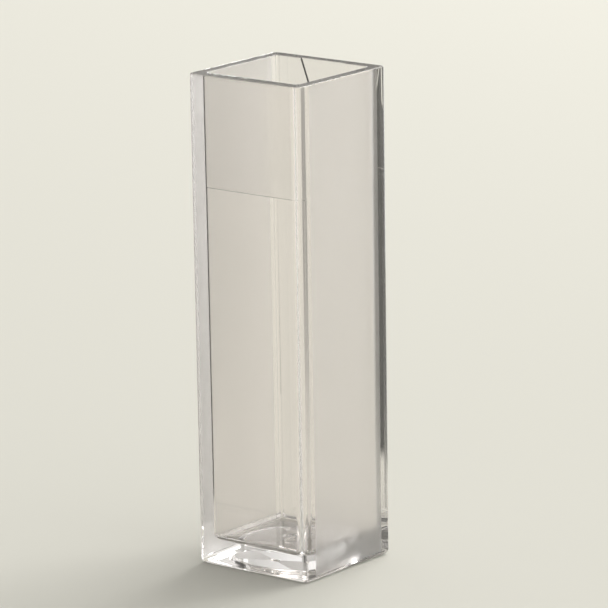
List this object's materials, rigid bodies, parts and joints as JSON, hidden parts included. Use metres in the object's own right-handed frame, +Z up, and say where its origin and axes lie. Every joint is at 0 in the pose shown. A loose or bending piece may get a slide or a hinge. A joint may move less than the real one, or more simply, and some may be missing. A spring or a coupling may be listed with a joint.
{
  "type": "cuvette",
  "caption": "Tall square sample cell, open at the mouth, with clear windows on opposite walls, matt walls between them and a flat base.",
  "frame": {"origin": "middle of the base, on the plane that the cuvette stands on", "axes": "+Z up towards the mouth, X through the clear windows along the light path, Y through the matt walls"},
  "size_m": [0.0124, 0.0124, 0.045],
  "materials": {
    "clear_polystyrene": "clear moulded polystyrene, polished at the windows and edges, with a matt panel outside on each of the other two walls"
  },
  "bodies": {
    "root": {"cuvette": "clear_polystyrene"}
  },
  "joints": []
}
